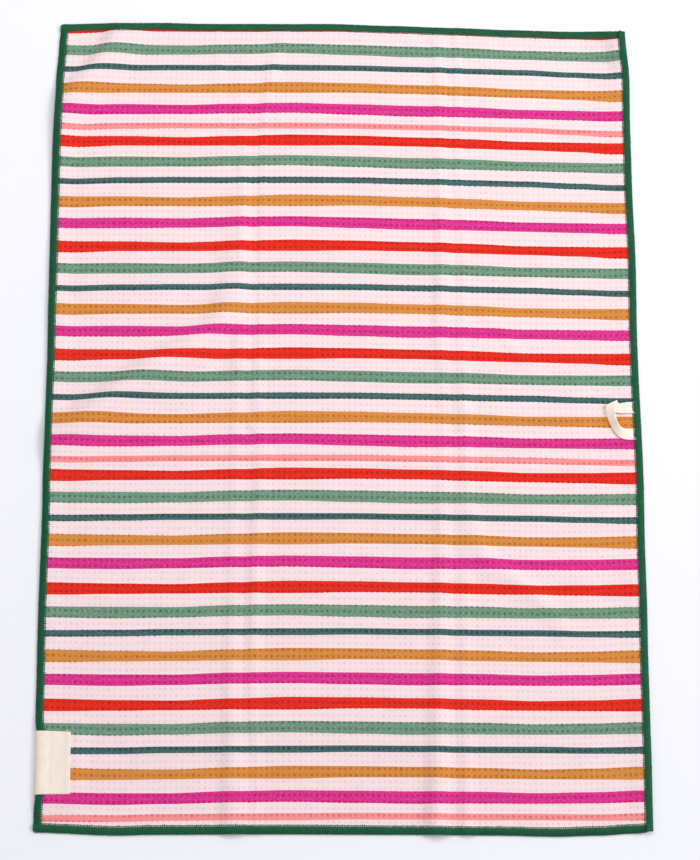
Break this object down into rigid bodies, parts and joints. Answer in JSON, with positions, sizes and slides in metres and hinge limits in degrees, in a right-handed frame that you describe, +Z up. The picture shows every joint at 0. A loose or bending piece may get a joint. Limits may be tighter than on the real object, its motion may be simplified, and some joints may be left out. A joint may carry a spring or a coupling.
{
  "type": "hand towel",
  "caption": "Thin woven hand towel lying face up, with soft fold marks, a sewn thread edging, a tape hanging loop and a bare sewn label.",
  "frame": {"origin": "middle of the towel's outline, on the surface it lies on", "axes": "+Y along the towel's length, away from the end with the label; +X across it, towards the side with the hanging loop; +Z up from the surface"},
  "size_m": [0.5146, 0.7189, 0.0082],
  "materials": {
    "towel_cloth": "matt waffle weave, pale pink ground with printed cross stripes",
    "edging_thread": "close green sewing thread, slight sheen",
    "loop_tape": "cream twill tape, matt",
    "label_cloth": "cream woven tape, bare, matt"
  },
  "bodies": {
    "root": {"towel_cloth": "towel_cloth", "edging_right": "edging_thread", "edging_left": "edging_thread", "edging_top": "edging_thread", "edging_bottom": "edging_thread", "hanging_loop": "loop_tape", "care_label": "label_cloth"}
  },
  "joints": []
}
